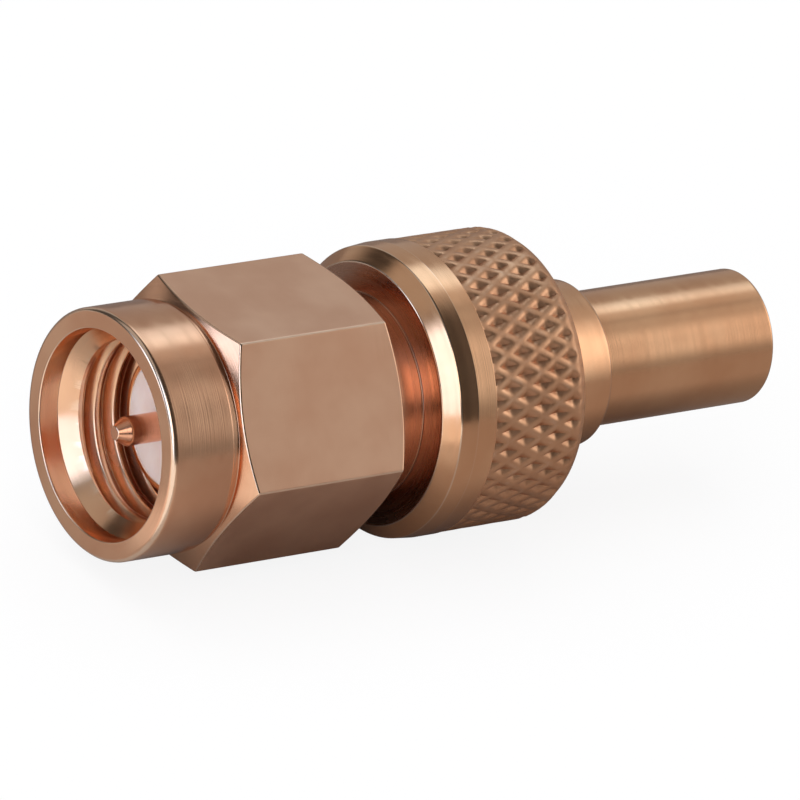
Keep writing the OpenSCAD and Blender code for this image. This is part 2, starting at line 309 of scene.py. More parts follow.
def blend_colours(tree, share, first, second):
    """Mixes two colours, each a socket or a colour, by a share from 0 to 1."""
    node = add(tree, "Mix", data_type="RGBA")
    for socket, value in ((node.inputs[0], share), (node.inputs[6], first), (node.inputs[7], second)):
        feed(tree, socket, value)
    return node.outputs[2]


def distance_along(tree, vector, direction):
    """Adds a dot product: how far a vector reaches along a direction."""
    node = add(tree, "VectorMath", operation="DOT_PRODUCT")
    tree.links.new(vector, node.inputs[0])
    node.inputs[1].default_value = direction
    return node.outputs["Value"]


print("more helpers ease a value, mix colours and measure along a direction")

# %% Plating tone, lathe grooves
plating, way_in, way_out = new_group(
    "plating_tone",
    [("Bright", "Color", (1, 1, 1, 1)), ("Deep", "Color", (0.5, 0.5, 0.5, 1)), ("Patch", "Float", 500.0)],
    [("Color", "Color"), ("Drift", "Float")])
slow = add(plating, "TexNoise", Detail=3.0, Roughness=0.55)
plating.links.new(add(plating, "TexCoord").outputs["Object"], slow.inputs["Vector"])
plating.links.new(way_in.outputs["Patch"], slow.inputs["Scale"])
drift = ramp(plating, slow.outputs[0], 0.3, 0.72)
tone = blend_colours(plating, drift, way_in.outputs["Deep"], way_in.outputs["Bright"])
plating.links.new(tone, way_out.inputs["Color"])
plating.links.new(drift, way_out.inputs["Drift"])

FACE_GROOVES = 1.37
grooves, way_in, way_out = new_group(
    "lathe_grooves", [("Spacing", "Float", 0.00004)], [("Height", "Float"), ("Streak", "Float")])
place = add(grooves, "SeparateXYZ")
grooves.links.new(add(grooves, "TexCoord").outputs["Object"], place.inputs[0])
square_y = maths(grooves, "MULTIPLY", place.outputs["Y"], place.outputs["Y"])
square_z = maths(grooves, "MULTIPLY", place.outputs["Z"], place.outputs["Z"])
radius = maths(grooves, "SQRT", maths(grooves, "ADD", square_y, square_z))
path = maths(grooves, "ADD", place.outputs["X"], maths(grooves, "MULTIPLY", radius, FACE_GROOVES))
turns = maths(grooves, "DIVIDE", path, way_in.outputs["Spacing"])
fine = add(grooves, "TexNoise", noise_dimensions="1D", Scale=1.0, Detail=2.0, Roughness=0.6)
wide = add(grooves, "TexNoise", noise_dimensions="1D", Scale=0.12, Detail=2.0, Roughness=0.5)
grooves.links.new(turns, fine.inputs["W"])
grooves.links.new(turns, wide.inputs["W"])
grooves.links.new(fine.outputs[0], way_out.inputs["Height"])
grooves.links.new(ramp(grooves, wide.outputs[0], 0.3, 0.7), way_out.inputs["Streak"])
print("groups:", plating.name, grooves.name)

# %% Worn edges with painted highlight and hollow shade, hair scratches
RAGGED = 0.6
# The first output marks worn, paler edges, partly a painted highlight; the second marks inner corners and
# thread roots for painted shade.
wear_highlight_and_shade, way_in, way_out = new_group(
    "worn_edges_painted_highlight_and_shade",
    [("Start", "Float", 0.3), ("Full", "Float", 0.9)],
    [("Edge", "Float"), ("Hollow_Shade", "Float")])
bend = add(wear_highlight_and_shade, "Attribute", attribute_name="bend").outputs["Fac"]
speckle = add(wear_highlight_and_shade, "TexNoise", Scale=2500.0, Detail=2.0)
wear_highlight_and_shade.links.new(add(wear_highlight_and_shade, "TexCoord").outputs["Object"], speckle.inputs["Vector"])
ragged = maths(wear_highlight_and_shade, "MULTIPLY", maths(wear_highlight_and_shade, "SUBTRACT", speckle.outputs[0], 0.5), RAGGED)
bent = maths(wear_highlight_and_shade, "ADD", bend, ragged)
wear_highlight_and_shade.links.new(ramp(wear_highlight_and_shade, bent, way_in.outputs["Start"], way_in.outputs["Full"]), way_out.inputs["Edge"])
wear_highlight_and_shade.links.new(ramp(wear_highlight_and_shade, bent, -0.3, -0.9), way_out.inputs["Hollow_Shade"])

hair, way_in, way_out = new_group(
    "hair_scratches", [("Scale", "Float", 900.0), ("Share", "Float", 0.5)], [("Line", "Float")])
stretch = add(hair, "Mapping", Scale=(1.0, 0.06, 0.06), Rotation=(0.3, 0.2, 0.5))
hair.links.new(add(hair, "TexCoord").outputs["Object"], stretch.inputs["Vector"])
threads = add(hair, "TexNoise", Detail=2.0, Roughness=0.5)
hair.links.new(stretch.outputs[0], threads.inputs["Vector"])
hair.links.new(way_in.outputs["Scale"], threads.inputs["Scale"])
middle = maths(hair, "ABSOLUTE", maths(hair, "SUBTRACT", threads.outputs[0], 0.5))
line = ramp(hair, middle, 0.012, 0.002)
hair.links.new(maths(hair, "MULTIPLY", line, way_in.outputs["Share"]), way_out.inputs["Line"])
print("groups:", wear_highlight_and_shade.name, hair.name)

# %% [markdown]
# ## Gold plate
# The brass under the plate is turned, bright-dipped and plated, so all metal pieces share one recipe
# with their own numbers: the nut's flats are satin, the tube is nearly polished. A metal has no
# colour of its own beyond its reflections, so the tone goes to Base Color, and everything else is
# roughness and bump. Worn edges turn paler, partly as a painted highlight, and hollows and the
# knurl's pits get painted shade, darker and duller.


# %% Parts of a material
def new_material(name):
    material = bpy.data.materials.new(name)
    material.use_nodes = True
    return material, material.node_tree, material.node_tree.nodes["Principled BSDF"]


def place_group(tree, group, **values):
    node = add(tree, "Group", node_tree=group)
    for name, value in values.items():
        node.inputs[name].default_value = value
    return node


BUMP_DEPTH = 0.01 * MM


def bump_from(tree, shader, height, strength):
    bump = add(tree, "Bump", Strength=strength, Distance=BUMP_DEPTH)
    tree.links.new(height, bump.inputs["Height"])
    tree.links.new(bump.outputs["Normal"], shader.inputs["Normal"])


print("bump reaches", BUMP_DEPTH / MM, "mm")

# %% Recipe for plated metal
# Paler edges are wear and partly a painted highlight; the dull tint in hollows and pits is painted shade.
PALE_WEAR_AND_HIGHLIGHT, WORN_AND_HIGHLIGHT_SHARE = (1.0, 0.80, 0.62), 0.55
HOLLOW_SHADE_TINT, HOLLOW_SHADE_SHARE = (0.62, 0.66, 0.72), 0.7
PIT_SHADE_SHARE = 0.6
TONE_PATCH, HAIR_SCALE, HAIR_SHARE = 420.0, 1100.0, 0.22
ROUGH_LEAST, ROUGH_SPREAD, SCUFF, BAR_DRIFT = 0.82, 0.35, 0.12, 0.35
BAR_STRETCH = (0.02, 1.0, 1.0)


def plated(name, bright, deep, rough, groove, bump, drawn=False, pits=False):
    """Two tones, a roughness, the spacing of the grooves in mm and their bump.

    On drawn bar the grooves run along the axis, on turned pieces round it. Pits are the knurl's hollows,
    darkened by painted shade.
    """
    material, tree, shader = new_material(name)
    shader.inputs["Metallic"].default_value = 1.0
    tone = place_group(tree, plating, Bright=(*bright, 1), Deep=(*deep, 1), Patch=TONE_PATCH)
    worn_highlight_and_shade = place_group(tree, wear_highlight_and_shade)
    scratch = place_group(tree, hair, Scale=HAIR_SCALE, Share=HAIR_SHARE).outputs["Line"]
    # Edges blend towards a paler tone; hollows and knurl pits blend towards a darker, duller copy of the
    # deep tone, which is painted shade.
    paler = [(1 - WORN_AND_HIGHLIGHT_SHARE) * c + WORN_AND_HIGHLIGHT_SHARE * w for c, w in zip(bright, PALE_WEAR_AND_HIGHLIGHT)]
    duller = [tint * c for tint, c in zip(HOLLOW_SHADE_TINT, deep)]
    hollow_shade = worn_highlight_and_shade.outputs["Hollow_Shade"]
    if pits:
        depth = add(tree, "Attribute", attribute_name="pit_depth").outputs["Fac"]
        hollow_shade = maths(tree, "MAXIMUM", hollow_shade, ramp(tree, depth, 0.1, 1.0, 0.0, PIT_SHADE_SHARE))
    colour = blend_colours(tree, worn_highlight_and_shade.outputs["Edge"], tone.outputs["Color"], (*paler, 1))
    colour = blend_colours(tree, maths(tree, "MULTIPLY", hollow_shade, HOLLOW_SHADE_SHARE), colour, (*duller, 1))
    tree.links.new(colour, shader.inputs["Base Color"])
    if drawn:
        grain = add(tree, "Mapping", Scale=BAR_STRETCH)
        tree.links.new(add(tree, "TexCoord").outputs["Object"], grain.inputs["Vector"])
        noise = add(tree, "TexNoise", Scale=1.0 / (groove * MM), Detail=2.0)
        tree.links.new(grain.outputs[0], noise.inputs["Vector"])
        height, streak = noise.outputs[0], maths(tree, "MULTIPLY", tone.outputs["Drift"], BAR_DRIFT)
    else:
        cut = place_group(tree, grooves, Spacing=groove * MM)
        height, streak = cut.outputs["Height"], cut.outputs["Streak"]
    spread = maths(tree, "MULTIPLY", streak, rough * ROUGH_SPREAD)
    uneven = maths(tree, "ADD", spread, maths(tree, "MULTIPLY", scratch, SCUFF))
    tree.links.new(maths(tree, "ADD", uneven, rough * ROUGH_LEAST, clamp=True), shader.inputs["Roughness"])
    bump_from(tree, shader, maths(tree, "SUBTRACT", height, scratch), bump)
    print("material", name)
    return material


# %% Finishes of the metal pieces
ROSE, ROSE_DEEP = (0.93, 0.535, 0.305), (0.83, 0.44, 0.24)
nut_turned = plated("nut_turned_gold", (0.91, 0.53, 0.33), (0.80, 0.42, 0.25),
                    rough=0.18, groove=0.05, bump=0.08)
nut_inside = plated("nut_inside_gold", (0.94, 0.565, 0.345), (0.83, 0.455, 0.265),
                    rough=0.22, groove=0.05, bump=0.10)
nut_flat = plated("nut_flat_satin", (0.95, 0.585, 0.39), (0.86, 0.485, 0.31),
                  rough=0.44, groove=0.06, bump=0.18, drawn=True)
collar_gold = plated("collar_gold", ROSE, ROSE_DEEP, rough=0.17, groove=0.04, bump=0.07)
# Painted shade: the barrel and the collar's face get darker, redder copies of the plating for the shade and
# warm bounced light between nut and collar.
barrel_painted_shade = plated("barrel_painted_shade", (0.86, 0.42, 0.25), (0.76, 0.34, 0.19),
                     rough=0.24, groove=0.04, bump=0.04)
collar_face_painted_shade = plated("face_gold_painted_shade", (0.60, 0.36, 0.26), (0.50, 0.29, 0.20),
                     rough=0.26, groove=0.04, bump=0.04)
knurl_gold = plated("knurl_gold", (0.80, 0.455, 0.265), (0.71, 0.375, 0.21),
                    rough=0.42, groove=0.06, bump=0.06, pits=True)
tube_gold = plated("tube_gold", ROSE, ROSE_DEEP, rough=0.18, groove=0.03, bump=0.07)
contact_gold = plated("contact_gold", (0.88, 0.44, 0.27), (0.78, 0.36, 0.21),
                      rough=0.18, groove=0.02, bump=0.08)
spring_bronze = plated("spring_bronze", (0.72, 0.55, 0.30), (0.58, 0.42, 0.22),
                       rough=0.30, groove=0.04, bump=0.10)

# %% [markdown]
# ## Insulator and gasket
# The insulator is a waxy white plastic that lets a little light in, with faint tool rings on its
# face. The gasket is soft silicone rubber, matt and a little dusty. Both are dielectrics, so colour
# goes to the surface and the gloss stays plain.

# %% Soft materials
waxy, tree, shader = new_material("insulator_wax_white")
shader.inputs["Subsurface Weight"].default_value = 0.25
shader.inputs["Subsurface Radius"].default_value = (0.0006, 0.0004, 0.0003)
shader.inputs["Subsurface Scale"].default_value = 1.0
# The pink tint of the white plastic is painted warm light, bounced from the gold walls of the mouth.
tone = place_group(tree, plating, Bright=(0.95, 0.77, 0.67, 1), Deep=(0.88, 0.67, 0.56, 1), Patch=900.0)
tree.links.new(tone.outputs["Color"], shader.inputs["Base Color"])
cut = place_group(tree, grooves, Spacing=0.05 * MM)
tree.links.new(ramp(tree, cut.outputs["Streak"], 0.0, 1.0, 0.38, 0.52), shader.inputs["Roughness"])
bump_from(tree, shader, cut.outputs["Height"], 0.15)

rubber, tree, shader = new_material("gasket_rubber")
tone = place_group(tree, plating, Bright=(0.52, 0.13, 0.08, 1), Deep=(0.40, 0.08, 0.05, 1), Patch=1500.0)
tree.links.new(tone.outputs["Color"], shader.inputs["Base Color"])
tree.links.new(ramp(tree, tone.outputs["Drift"], 0.0, 1.0, 0.55, 0.72), shader.inputs["Roughness"])
pores = add(tree, "TexNoise", Scale=9000.0, Detail=3.0)
tree.links.new(add(tree, "TexCoord").outputs["Object"], pores.inputs["Vector"])
bump_from(tree, shader, pores.outputs[0], 0.3)
print("soft materials:", waxy.name, rubber.name)

# %% [markdown]
# ## Sizes that pieces share
# Where one piece ends another begins, so the ends of the pieces are read once from the solid model,
# to a thousandth of a millimetre. Radii that two pieces share are named here too. Faces that touch on
# the real object are kept a hair apart, because two faces in one place flicker in the picture.


# %% Shared sizes in mm
def ends_of(node):
    """Front and back end of a node along the axis."""
    low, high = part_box(node)
    return round(low[0] / MM, 3), round(high[0] / MM, 3)


APART = 0.005
X_BACK = ends_of("coupling_nut")[1]
X_PLANE, X_RIM = ends_of("plug_body")
X_JOIN, X_END = ends_of("jack_sleeve")
X_TIP, X_SOCKET = ends_of("centre_contact")
X_BOTTOM = ends_of("jack_insulator")[1]
RING_FRONT, RING_BACK = ends_of("retaining_ring")
GASKET_FRONT, X_BARREL = ends_of("gasket")
BARREL_R, FERRULE_R, FERRULE_BORE_R, SPIGOT_R = 3.2, 2.28, 2.065, 2.5
CORE_R, X_CORE, JACK_CORE_R = 2.2, 6.0, 1.95
STEM_R, SOCKET_R, FLANGE_R, FLANGE = 0.64, 0.62, 1.10, 0.60
print("along the axis:", X_PLANE, X_BARREL, X_BACK, X_JOIN, X_RIM, X_BOTTOM, X_END)

# %% [markdown]
# ## The coupling nut
# The nut starts as hexagonal bar. The lathe turns the round nose and takes a flat cone off the
# corners, so each flat ends in a curve: low in its middle, high at the corners. Cutting a hexagon
# with cones by booleans leaves ragged edges, so the outline itself follows the hexagon: at each
# angle the radius of the flat is known, and the cone meets it where the two radii agree.

# %% Hexagon, corner by corner
SIXTH, TWELFTH = math.radians(60), math.radians(30)
FLAT = 4.0
CORNER = FLAT / math.cos(TWELFTH)
CORNER_EDGE = 0.10
CORNER_ARC = [math.radians(bow) for bow in (0, 10, 20, 30)]
FLAT_COLUMNS, FLAT_HOLD = 20, 0.15


def hexagon_columns():
    """Angle, radius and bend of each column round the nut. Corners lie at 0, 60, 120 degrees and so on."""
    inset = CORNER - CORNER_EDGE / math.sin(SIXTH)
    rim = []
    for bow in CORNER_ARC:
        out, side = inset + CORNER_EDGE * math.cos(bow), CORNER_EDGE * math.sin(bow)
        rim.append((math.atan2(side, out), math.hypot(out, side), math.cos(3 * bow)))
    first, last = rim[-1][0], SIXTH - rim[-1][0]
    steps = [FLAT_HOLD] + list(range(1, FLAT_COLUMNS)) + [FLAT_COLUMNS - FLAT_HOLD]
    across = [first + (last - first) * s / FLAT_COLUMNS for s in steps]
    flat = [(a, FLAT / math.cos(a - TWELFTH), 0.0) for a in across]
    back = [(SIXTH - a, r, bend) for a, r, bend in rim[:0:-1]]
    return [(SIXTH * c + a, r, bend) for c in range(6) for a, r, bend in rim + flat + back]


hexagon = hexagon_columns()
print("the nut has", len(hexagon), "columns")

# %% Corners of the nut's outline
NOSE_R, FOOT_R, X_NOSE, X_FOOT = 3.94, 3.83, 2.268, 2.518
NOSE_STEP = 0.02
CHAMFER_R = CORNER - 0.83
CHAMFER_SLOPE = math.tan(math.radians(24))
MOUTH_R, X_MOUTH = 3.3, 0.7
THREAD_FRONT, THREAD_BACK, THREAD_MINOR, THREAD_MAJOR = 1.16, 3.70, 2.84, 3.175
X_ROOM, GASKET_ROOM_R = 4.0, 3.38
BORE_R = BARREL_R + 0.08
BACK_EDGE = 0.2
GROOVE_FRONT, GROOVE_BACK, GROOVE_R = RING_FRONT - 0.15, RING_BACK + 0.15, 3.58


def nut_corners(flat_radius):
    """The nut's outline at an angle where the hexagon has this radius, from the rim outwards and back."""
    front = X_FOOT + (flat_radius - FOOT_R) * CHAMFER_SLOPE
    back = X_BACK - (flat_radius - CHAMFER_R) * CHAMFER_SLOPE
    return [
        (0.0, MOUTH_R, 0.05), (0.0, NOSE_R, 0.16), (X_NOSE, NOSE_R, 0.04),
        (X_NOSE + NOSE_STEP, FOOT_R, 0.03), (X_FOOT, FOOT_R, 0.03),
        (front, flat_radius, 0.07), (back, flat_radius, 0.07),
        (X_BACK, CHAMFER_R, 0.05), (X_BACK, BORE_R + BACK_EDGE, 0.03), (X_BACK - BACK_EDGE, BORE_R, 0.03),
        (GROOVE_BACK, BORE_R, 0.02), (GROOVE_BACK, GROOVE_R, 0.02), (GROOVE_FRONT, GROOVE_R, 0.02),
        (GROOVE_FRONT, BORE_R, 0.02), (X_BARREL, BORE_R, 0.02), (X_BARREL, GASKET_ROOM_R, 0.02),
        (X_ROOM, GASKET_ROOM_R, 0.03), (THREAD_BACK, THREAD_MINOR, 0), (THREAD_FRONT, THREAD_MINOR, 0),
        (X_MOUTH, MOUTH_R, 0.03)]


FRONT_CORNER, BACK_CORNER, BORE_CORNER, THREAD_CORNER = 5, 6, 8, 17
front_row, back_row, bore_row, thread_row = (
    row_of(nut_corners(FLAT), i) for i in (FRONT_CORNER, BACK_CORNER, BORE_CORNER, THREAD_CORNER))
print("the thread takes the place of row", thread_row)

# %% Outlines and finishes round the nut
corner_points = range(front_row + 3, back_row + 4)
flat_rows = range(back_row - 2, back_row + 1)
TURNED, SATIN, INSIDE = 0, 1, 2


def nut_outline(flat_radius, corner_bend):
    """The eased outline, which also wears paler along the hexagon's corners, partly a painted highlight."""
    points = []
    for i, (along, radius, bend) in enumerate(eased(nut_corners(flat_radius))):
        points.append((along, radius, max(bend, corner_bend) if i in corner_points else bend))
    return points


def nut_finish(row):
    if row in flat_rows:
        return SATIN
    return INSIDE if row >= bore_row - 1 else TURNED


nut_outlines = [nut_outline(radius, bend) for angle, radius, bend in hexagon]
nut_angles = [angle for angle, radius, bend in hexagon]
print("outline of", len(nut_outlines[0]), "points")

# %% [markdown]
# ## The thread in the mouth
# The thread is a quarter inch across with 36 turns to the inch, right-handed. A groove painted with
# bump would look flat from the front, so it is cut in the mesh: rows of points follow the helix, each
# row at its own place on the tooth, and after one turn a row meets the row one pitch further on. The
# groove fades out at both ends, as where the tool leaves the work.

# %% Helical groove
PITCH = 25.4 / 36
THREAD_START, FADE = 0.066, 0.30
# Bend along the thread: the lands wear a little pale, partly a painted highlight, and the roots get painted
# shade.
LAND_BEND, BEND_FALL = 0.6, 1.5
TOOTH = [(0.02, 0.0), (0.16, 0.0), (0.30, 0.0), (0.34, 0.05), (0.38, 0.17), (0.56, 0.86), (0.60, 0.97),
         (0.66, 1.0), (0.72, 0.97), (0.76, 0.86), (0.94, 0.17), (0.98, 0.05)]
thread_turns = range(-1, int((THREAD_BACK - THREAD_FRONT) / PITCH) + 2)
thread_rows = [(k + share, depth) for k in thread_turns for share, depth in TOOTH]


def ease_in(value, span):
    t = min(1.0, max(0.0, value / span))
    return t * t * (3 - 2 * t)


def thread_outline(angle):
    """Points along the bore at one angle. Depth is 0 on the thread's land and 1 at the groove's root."""
    points = []
    for share, depth in thread_rows:
        along = THREAD_FRONT + (share - THREAD_START + angle / (2 * math.pi)) * PITCH
        along = min(THREAD_BACK, max(THREAD_FRONT, along))
        fade = ease_in(along - THREAD_FRONT, FADE) * ease_in(THREAD_BACK - along, FADE)
        radius = THREAD_MINOR + (THREAD_MAJOR - THREAD_MINOR) * depth * fade
        points.append((along, radius, LAND_BEND - BEND_FALL * depth))
    return points


def cut_thread(mesh, angles):
    """Skins the groove. The last column joins the first one a whole tooth further on."""
    columns = place_columns(mesh, [thread_outline(angle) for angle in angles], angles)
    columns.append(columns[0][len(TOOTH):])
    for column, beside in zip(columns, columns[1:]):
        for row, face in join(mesh, column, beside, range(len(beside) - 1)):
            face.material_index = INSIDE
    leftover = {point.co.x for point in columns[-2][len(beside) - 1:]}
    assert leftover == {columns[-2][-1].co.x}, "the groove has to end before its last row"


print("thread rows:", len(thread_rows))

# %% Skin of the nut
mesh = bmesh.new()
skin(mesh, nut_outlines, nut_angles, finish=nut_finish, skip=(thread_row,))
cut_thread(mesh, nut_angles)
make_piece(mesh, "hexagon_nut", "nut", "coupling_nut", [nut_turned, nut_flat, nut_inside])

# %% [markdown]
# ## The body and its diamond knurl
# The body is turned in one piece: a thin ferrule in the mouth, the barrel that the nut turns on, and
# the collar. The barrel is painted redder and the collar's face darker than the rest of the plating:
# painted shade and warm bounced light in the gap between nut and collar. Two knurling wheels press
# crossed ridges into the back of the collar, 42 diamonds round.
# A bump map would leave the collar's rim a perfect circle, so the knurl is in the mesh. Its points lie
# on a grid six times finer than half a diamond, and each face is split along the side of its diamond,
# so the ridges run straight.

# %% Depth of the knurl at a grid point
DIAMONDS, HALF_ROWS, HALF_STEP, FINE = 42, 6, 0.6, 6
RIDGE_R, PIT = 4.64, 0.14
KNURL_TURN = math.radians(-0.86)
X_KNURL = round(X_RIM - HALF_ROWS * HALF_STEP, 3)
DEPTHS = (0.0, 0.015, 0.08, 0.26, 0.53, 0.80, 0.96)


def knurl_depth(row, column):
    """Share of the pit's depth at a fine grid point: 0 on the ridges, nearly 1 in a pit."""
    up, down = (row + column) % (2 * FINE), (row - column) % (2 * FINE)
    return DEPTHS[min(up, 2 * FINE - up, down, 2 * FINE - down)]


body_angles = even_angles(2 * DIAMONDS * FINE, KNURL_TURN)
fine_rows = HALF_ROWS * FINE
print("knurl grid:", len(body_angles), "by", fine_rows)

# %% Outline of the body
X_FACE, FACE_R, X_CONE, CONE_R, X_COLLAR, COLLAR_R = 9.92, 4.16, 10.37, 4.60, 10.97, 4.66
RING_CLEAR, RING_ROOT_R = 0.02, 2.73
RIM_DROP, RIM_RUN = 0.20, 0.40
KNURL_EASE, RIM_EASE = 0.015, 0.05
# Bend on the knurl: the ridges wear a little pale, partly a painted highlight.
RIDGE_BEND, RIDGE_FALL = 0.4, 3
BODY_FRONT = [
    (X_PLANE, FERRULE_BORE_R, 0.03), (X_PLANE, FERRULE_R, 0.08), (X_BARREL, FERRULE_R, 0.03),
    (X_BARREL, BARREL_R, 0.10), (RING_FRONT - RING_CLEAR, BARREL_R, 0.02),
    (RING_FRONT - RING_CLEAR, RING_ROOT_R, 0), (RING_BACK + RING_CLEAR, RING_ROOT_R, 0),
    (RING_BACK + RING_CLEAR, BARREL_R, 0.02), (X_FACE, BARREL_R, 0.05), (X_FACE, FACE_R, 0.12),
    (X_CONE, CONE_R, 0.12), (X_COLLAR, COLLAR_R, 0.20), (X_KNURL, COLLAR_R, KNURL_EASE),
    (X_KNURL, RIDGE_R, 0)]
BODY_BACK = [
    (X_RIM, RIDGE_R - RIM_DROP - RIM_EASE, 0), (X_RIM, SPIGOT_R, 0), (X_JOIN, SPIGOT_R, 0),
    (X_JOIN, CORE_R, 0), (X_CORE, CORE_R, 0), (X_CORE, FERRULE_BORE_R, 0)]
body_outline = eased(BODY_FRONT + BODY_BACK)
knurl_start = len(body_outline) - len(BODY_BACK)


def body_outline_at(column):
    """The body's outline with the knurl's rows at this angle."""
    rows = []
    for row in range(fine_rows + 1):
        along = X_KNURL + HALF_STEP * row / FINE
        along = min(max(along, X_KNURL + KNURL_EASE), X_RIM - RIM_EASE)
        depth = knurl_depth(row, column)
        rim = RIDGE_R - RIM_DROP * ease_in(along - X_RIM + RIM_RUN, RIM_RUN)
        rows.append((along, min(RIDGE_R - PIT * depth, rim), max(0.0, RIDGE_BEND - RIDGE_FALL * depth)))
    return body_outline[:knurl_start] + rows + body_outline[knurl_start:]


print("body outline of", len(body_outline) + fine_rows + 1, "points")

# %% Finishes along the body
COLLAR, KNURL, BARREL, FACE = 0, 1, 2, 3
GROOVE_CORNER, FACE_CORNER, CHAMFER_CORNER = 7, 8, 9
face_row = row_of(BODY_FRONT, FACE_CORNER) + 3
barrel_rows = range(row_of(BODY_FRONT, GROOVE_CORNER), face_row)
face_rows = range(face_row, row_of(BODY_FRONT, CHAMFER_CORNER) + 3)


def body_finish(row):
    if row in barrel_rows:
        return BARREL
    return FACE if row in face_rows else COLLAR


print("barrel, collar face and collar start at rows", barrel_rows[0], face_rows[0], face_rows[-1] + 1)


# %% Skin of the body
def skin_knurl(mesh, columns, depth_layer):
    """Two triangles in each grid square, split along the side of its diamond."""
    last = fine_rows + 1
    for j, (column, beside) in enumerate(zip(columns, columns[1:] + columns[:1])):
        left, right = column[knurl_start:knurl_start + last], beside[knurl_start:knurl_start + last]
        for row in range(fine_rows):
            a, b, c, d = left[row], left[row + 1], right[row + 1], right[row]
            rising = abs(knurl_depth(row, j) - knurl_depth(row + 1, j + 1))
            falling = abs(knurl_depth(row + 1, j) - knurl_depth(row, j + 1))
            for half in ((a, b, c), (a, c, d)) if rising < falling else ((a, b, d), (b, c, d)):
                mesh.faces.new(half).material_index = KNURL
        for row, point in enumerate(left):
            point[depth_layer] = knurl_depth(row, j)


mesh = bmesh.new()
# Each point keeps how deep it lies in a pit; the knurl's finish paints shade into the pits by it.
pit_layer = mesh.verts.layers.float.new("pit_depth")
knurl_rows = range(knurl_start, knurl_start + fine_rows)
body_outlines = [body_outline_at(j) for j in range(len(body_angles))]
body_columns = skin(mesh, body_outlines, body_angles, finish=body_finish, skip=knurl_rows)
skin_knurl(mesh, body_columns, pit_layer)
make_piece(mesh, "knurled_body", "body", "plug_body",
           [collar_gold, knurl_gold, barrel_painted_shade, collar_face_painted_shade])

# %% [markdown]
# ## The sleeve
# The sleeve is pressed into the back of the body. Outside it has a short shoulder and the long plain
# tube. Inside there is a lead-in for the plug, a shallow groove that its spring fingers catch in, and
# a wider stretch that holds the insulator.

# %% Sleeve
SHOULDER_R, X_TAPER, SHOULDER_BACK_R, X_SHOULDER = 2.80, 16.00, 2.65, 17.70
TUBE_R, JACK_R, LEAD = 2.155, 1.75, 0.20
CATCH_BACK, CATCH_FRONT, CATCH_R = 23.40, 22.70, 1.93
SLEEVE = [
    (X_JOIN, JACK_CORE_R, 0.02), (X_JOIN, SPIGOT_R - APART, 0.05), (X_RIM + APART, SPIGOT_R - APART, 0),
    (X_RIM + APART, SHOULDER_R, 0.05), (X_TAPER, SHOULDER_R, 0.30), (X_SHOULDER, SHOULDER_BACK_R, 0.14),
    (X_SHOULDER, TUBE_R, 0.06), (X_END, TUBE_R, 0.20), (X_END, JACK_R + LEAD, 0.03),
    (X_END - LEAD, JACK_R, 0.04), (CATCH_BACK, JACK_R, 0.02), (CATCH_BACK, CATCH_R, 0.02),
    (CATCH_FRONT, CATCH_R, 0.02), (CATCH_FRONT, JACK_R, 0.02), (X_BOTTOM, JACK_R, 0),
    (X_BOTTOM, JACK_CORE_R, 0)]
turned_piece("jack_tube", "jack_sleeve", tube_gold, SLEEVE, columns=192)

# %% [markdown]
# ## The centre contact
# One thin rod carries the signal: a pin with a tapered end in the mouth, a flange that the two
# insulators hold, and at the far end a socket that is sawn through so that its halves can spring.
# The saw cut is made with a boolean, because it crosses the turned shape at right angles.

# %% Contact
PIN_R, PIN_TIP_R, PIN_TAPER, PIN_FOOT = 0.46, 0.21, 0.40, 0.05
SOCKET_BORE_R, SOCKET_LEAD, X_SOCKET_END = 0.28, 0.10, 20.80
CONTACT = [
    (X_TIP, 0.0, 0), (X_TIP, PIN_TIP_R, 0.05), (X_TIP + PIN_TAPER, PIN_R, 0.15),
    (X_PLANE + PIN_FOOT, PIN_R, 0.02), (X_PLANE + PIN_FOOT, STEM_R, 0.03),
    (X_JOIN - FLANGE, STEM_R, 0), (X_JOIN - FLANGE, FLANGE_R, 0.03), (X_JOIN, FLANGE_R, 0.03),
    (X_JOIN, SOCKET_R, 0), (X_SOCKET, SOCKET_R, 0.12), (X_SOCKET, SOCKET_BORE_R + SOCKET_LEAD, 0.02),
    (X_SOCKET - SOCKET_LEAD, SOCKET_BORE_R, 0.02), (X_SOCKET_END, SOCKET_BORE_R, 0), (X_SOCKET_END, 0.0, 0)]
contact = turned_piece(
    "pin_and_socket", "centre_contact", contact_gold, CONTACT, columns=96)

# %% Saw cut in the socket
SAW_MIDDLE, SAW_LENGTH, SAW_WIDTH, SAW_HEIGHT = 22.6 * MM, 3.0 * MM, 0.14 * MM, 2.0 * MM
blade = bmesh.new()
blade_size = Matrix.Diagonal((SAW_LENGTH, SAW_WIDTH, SAW_HEIGHT, 1.0))
bmesh.ops.create_cube(blade, size=1.0, matrix=Matrix.Translation((SAW_MIDDLE, 0, 0)) @ blade_size)
saw = new_object("saw", bpy.data.meshes.new("saw"))
blade.to_mesh(saw.data)
blade.free()
slit = contact.modifiers.new("saw_cut", "BOOLEAN")
slit.operation = "DIFFERENCE"
slit.object = saw
bpy.context.view_layer.update()
slotted = bpy.data.meshes.new_from_object(contact.evaluated_get(bpy.context.evaluated_depsgraph_get()))
contact.modifiers.clear()
contact.data = slotted
bpy.data.objects.remove(saw)
print("slotted contact has", len(slotted.polygons), "faces")

# %% [markdown]
# ## Insulators, gasket and spring ring
# These are mostly out of sight, but the faces of both insulators show in the mouths. The ring between
# nut and barrel is a split wire with square section, so its skin stops short of a full turn and its
# two ends are closed.

